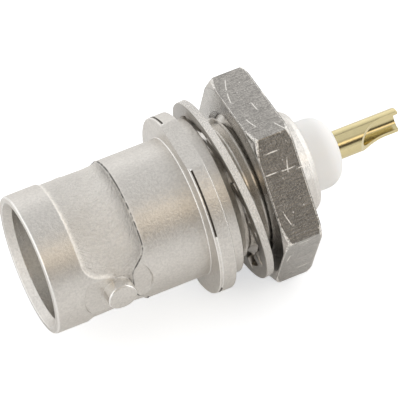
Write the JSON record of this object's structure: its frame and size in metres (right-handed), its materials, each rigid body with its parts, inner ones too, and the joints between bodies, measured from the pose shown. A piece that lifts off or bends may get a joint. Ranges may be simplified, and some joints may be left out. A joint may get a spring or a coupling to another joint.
{
  "type": "bnc connector",
  "caption": "Bayonet coaxial bulkhead jack with a nickel-plated shell, lock washer, hex nut, white insulator and gold solder contact.",
  "frame": {"origin": "on the connector's axis, in the plane of the collar's rear face that seats on the panel", "axes": "+X along the axis, from the mouth towards the solder contact; one bayonet lug points to -Y and the other to +Y; the flange's flats face -Z and +Z"},
  "size_m": [0.027, 0.0146, 0.0136],
  "materials": {
    "shell": "satin nickel plate on turned brass",
    "insulator": "smooth white PTFE",
    "contact": "bright gold plate",
    "washer": "nickel-plated spring steel with sheared edges",
    "nut": "bright nickel plate with worn faces"
  },
  "bodies": {
    "connector": {"shell": "shell", "front_insulator": "insulator", "rear_insulator": "insulator", "center_contact": "contact"},
    "washer": {"lock_washer": "washer"},
    "nut": {"hex_nut": "nut"}
  },
  "joints": [
    {"name": "washer_slide", "type": "slide", "parent": "connector", "child": "washer", "axis": [1, 0, 0], "range_m": [-0.00003, 0.01508]},
    {"name": "nut_turn", "type": "hinge", "parent": "washer", "child": "nut", "pos_m": [0.0036, 0, 0], "axis": [1, 0, 0], "range_deg": [-15, 6840]}
  ],
  "couplings": [
    {"joint": "nut_turn", "follows": "washer_slide", "rad_per_m": 7915.8}
  ]
}
